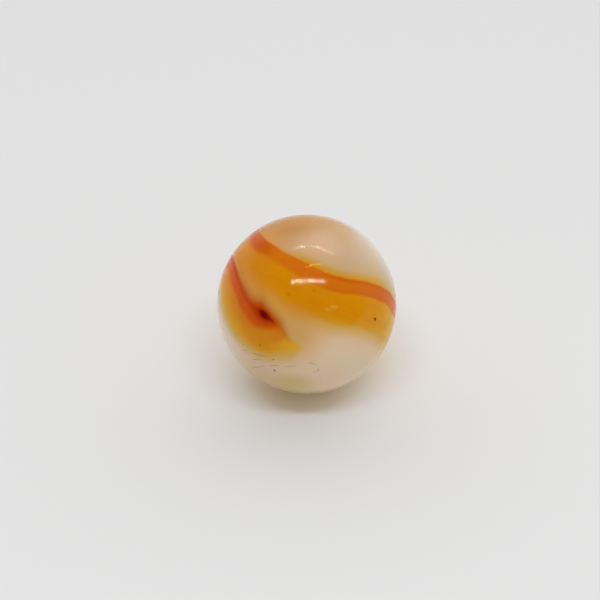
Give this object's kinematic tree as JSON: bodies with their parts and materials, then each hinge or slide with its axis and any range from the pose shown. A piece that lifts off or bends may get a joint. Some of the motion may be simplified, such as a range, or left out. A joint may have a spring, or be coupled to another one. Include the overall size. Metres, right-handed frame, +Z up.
{
  "type": "glass marble",
  "caption": "Solid glass ball for play, in translucent peach glass with swirled orange, gold and red ribbons under a glossy, faintly pitted skin.",
  "frame": {"origin": "middle of the ball", "axes": "+Z up as the ball lies; -Y faces the side where the two red lines and the dark red spot show"},
  "size_m": [0.016, 0.016, 0.016],
  "materials": {
    "swirl_glass": "fire-polished, glossy"
  },
  "bodies": {
    "root": {"marble": "swirl_glass"}
  },
  "joints": []
}
